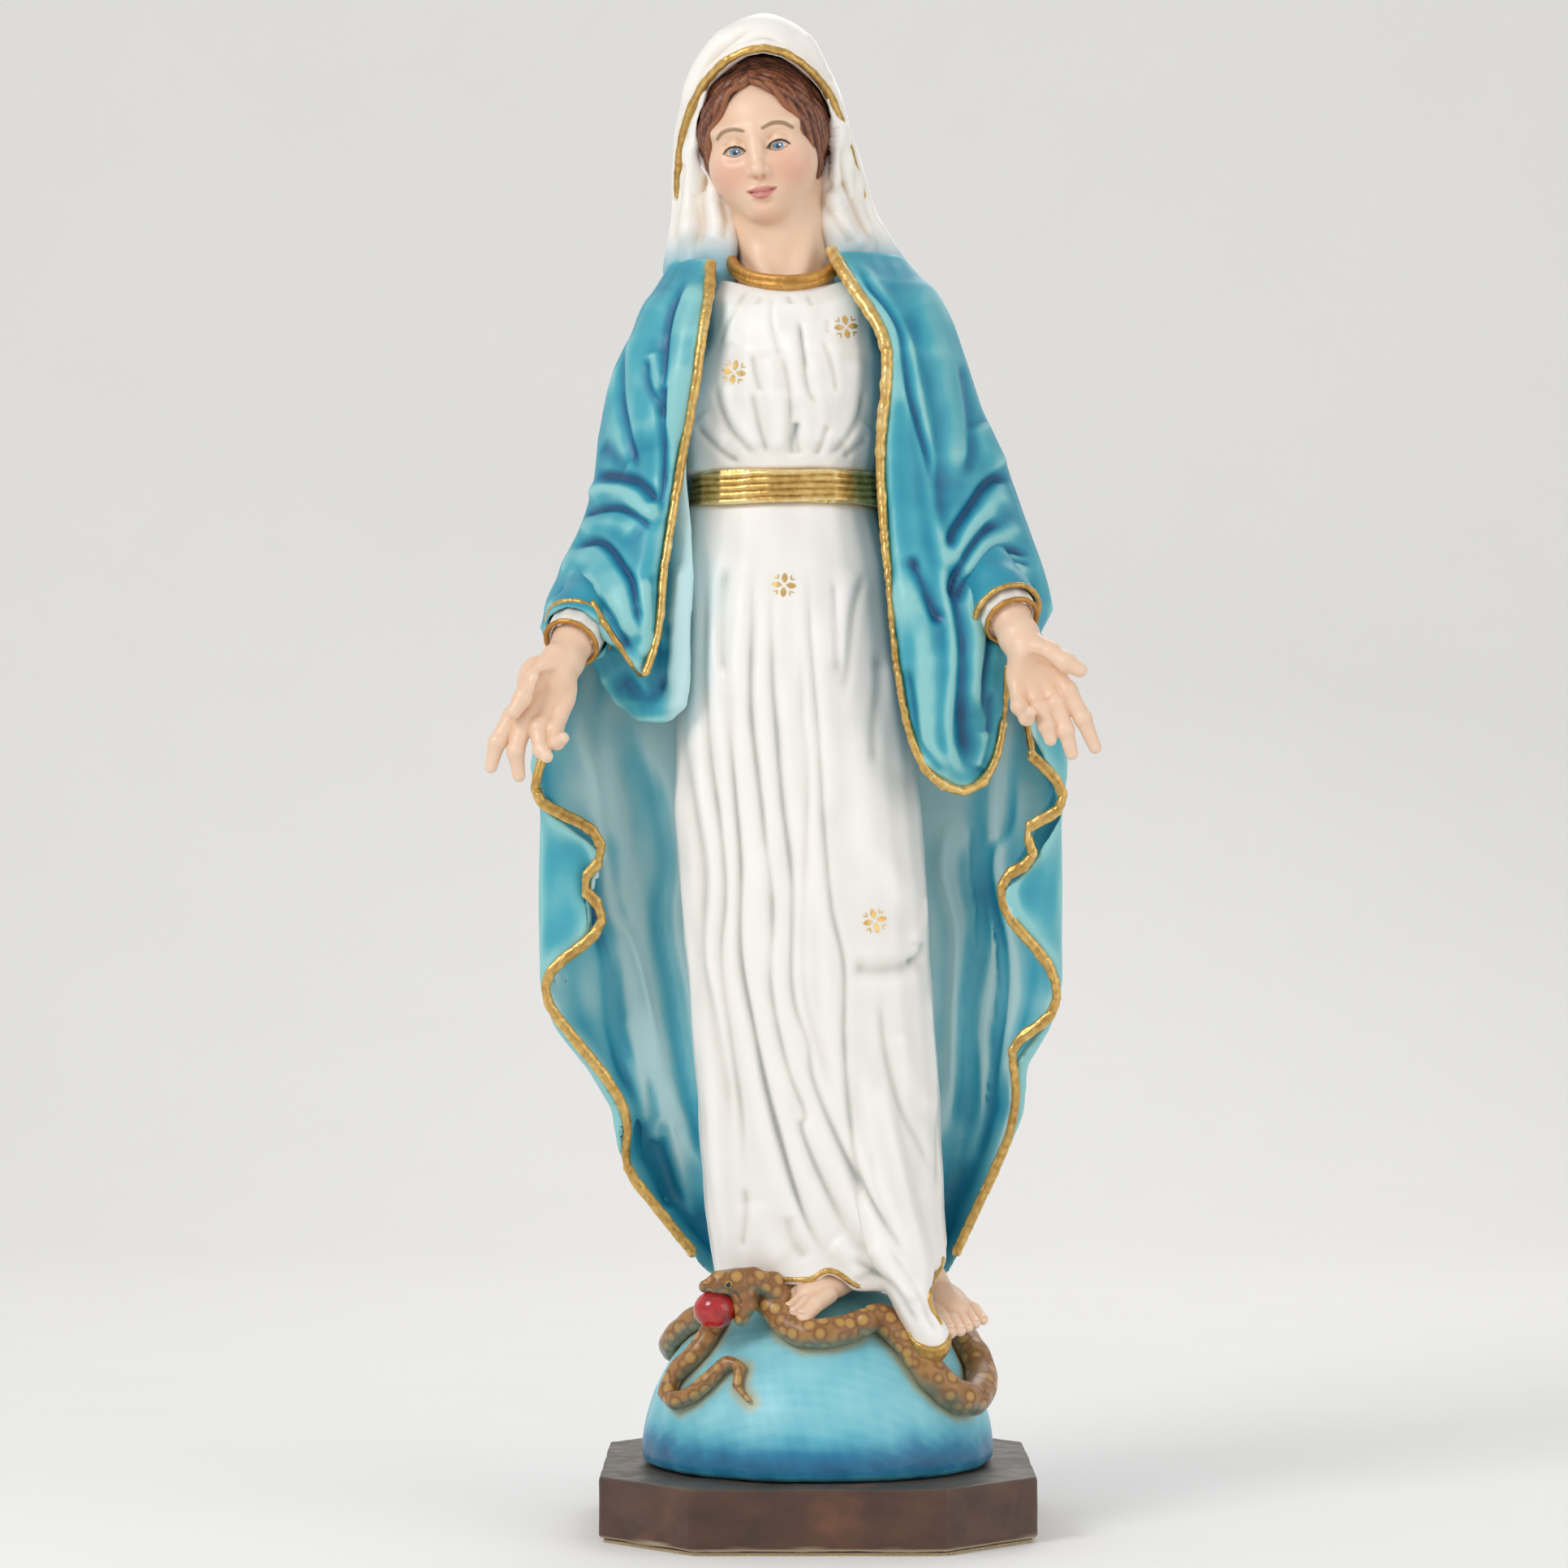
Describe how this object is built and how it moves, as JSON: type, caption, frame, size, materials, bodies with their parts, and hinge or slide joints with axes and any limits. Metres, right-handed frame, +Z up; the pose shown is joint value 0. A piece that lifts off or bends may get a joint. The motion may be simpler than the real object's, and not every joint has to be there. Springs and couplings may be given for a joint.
{
  "type": "madonna statue",
  "caption": "Standing robed and veiled figure with open hands on a globe and an eight-sided plinth, cast in plaster and painted.",
  "frame": {"origin": "on the underside of the plinth, straight below the centre of the globe", "axes": "+Z up, -Y towards the viewer, +X towards the figure's left hand"},
  "size_m": [0.2372, 0.18, 0.6],
  "materials": {
    "felt": "matte pad",
    "bronze_paint": "dark brown paint, rubbed to copper at the corners",
    "globe_paint": "matte turquoise, sprayed dark blue at the foot",
    "serpent_paint": "satin ochre with pale ringed spots",
    "apple_paint": "gloss red",
    "skin_paint": "satin flesh tone with rosy glazes",
    "gown_paint": "matte ivory, shaded pale blue beside the mantle",
    "veil_paint": "matte ivory, sprayed turquoise at the shoulders",
    "mantle_paint": "satin blue, dark in the folds and turquoise on the ridges",
    "lining_paint": "matte pale turquoise",
    "gold_leaf": "bright gold leaf, worn brown in the hollows",
    "bronze_gold": "satin bronze-gold paint",
    "hair_paint": "satin brown with fine strands",
    "eye_glass": "gloss painted eye",
    "steel": "plain rod, cast in"
  },
  "bodies": {
    "root": {"core_rod": "steel", "felt_pad": "felt", "plinth": "bronze_paint", "globe": "globe_paint", "apple": "apple_paint", "right_foot": "skin_paint", "left_foot": "skin_paint", "right_hand_pin": "steel", "left_hand_pin": "steel", "right_hand": "skin_paint", "left_hand": "skin_paint", "right_cuff_band": "bronze_gold", "left_cuff_band": "bronze_gold", "right_cuff": "gown_paint", "left_cuff": "gown_paint", "gown_hem_trim": "gold_leaf", "neckline_trim": "bronze_gold", "mantle_right_front_trim": "gold_leaf", "mantle_left_front_trim": "gold_leaf", "mantle_right_edge_trim": "gold_leaf", "mantle_left_edge_trim": "gold_leaf", "veil_trim": "gold_leaf", "sash": "gold_leaf", "right_eye": "eye_glass", "left_eye": "eye_glass", "head": "skin_paint", "hair": "hair_paint", "gown_skirt": "gown_paint", "gown_bodice": "gown_paint", "serpent_head": "serpent_paint", "serpent_body": "serpent_paint", "veil": "veil_paint", "mantle_right_fold": "mantle_paint", "mantle_left_fold": "mantle_paint", "right_sleeve_lining": "lining_paint", "mantle_cape": "mantle_paint"}
  },
  "joints": []
}
